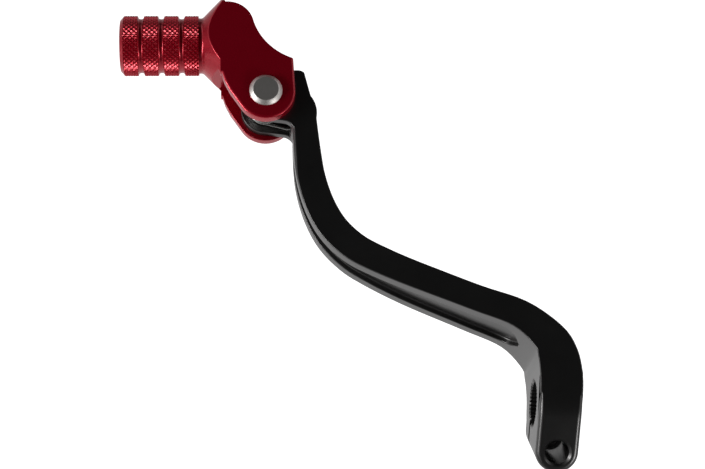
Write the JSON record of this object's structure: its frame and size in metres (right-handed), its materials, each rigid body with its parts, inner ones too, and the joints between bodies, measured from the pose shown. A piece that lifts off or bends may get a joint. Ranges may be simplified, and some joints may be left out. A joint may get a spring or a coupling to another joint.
{
  "type": "motorcycle gear shift lever",
  "caption": "S-shaped motorcycle gear shift lever with a splined pinch clamp at one end and a spring-loaded folding toe tip with a knurled peg at the other.",
  "frame": {"origin": "centre of the splined clamp bore, at the middle of the clamp's width", "axes": "+X along the splined bore and away from the toe peg, +Y forward along the motorcycle towards the folding tip, +Z along the tip's pivot pin towards its plain head"},
  "size_m": [0.1324, 0.1339, 0.0285],
  "materials": {
    "black_anodised": "satin black anodised, machined",
    "red_anodised": "satin red anodised, machined",
    "stainless_pin": "turned stainless steel with a circular grain",
    "stainless_plain": "bright stamped stainless steel",
    "dark_spring_steel": "black oxide",
    "spring_wire": "drawn stainless spring wire",
    "sleeve_polymer": "natural acetal",
    "bush_bronze": "plain turned bronze"
  },
  "bodies": {
    "arm": {"lever_arm": "black_anodised", "torsion_spring": "spring_wire", "upper_bush": "bush_bronze", "lower_bush": "bush_bronze"},
    "tip": {"toe_tip": "red_anodised", "pivot_pin": "stainless_pin", "pin_washer": "stainless_plain", "pin_circlip": "dark_spring_steel", "spring_sleeve": "sleeve_polymer", "upper_shim": "stainless_plain", "lower_shim": "stainless_plain"}
  },
  "joints": [
    {"name": "tip_fold", "type": "hinge", "parent": "arm", "child": "tip", "pos_m": [-0.0834, 0.0831, 0], "axis": [0, 0, 1], "range_deg": [0, 90], "stiffness_Nm_per_rad": 0.2, "springref_deg": -51.57, "deforming": ["torsion_spring"]}
  ]
}
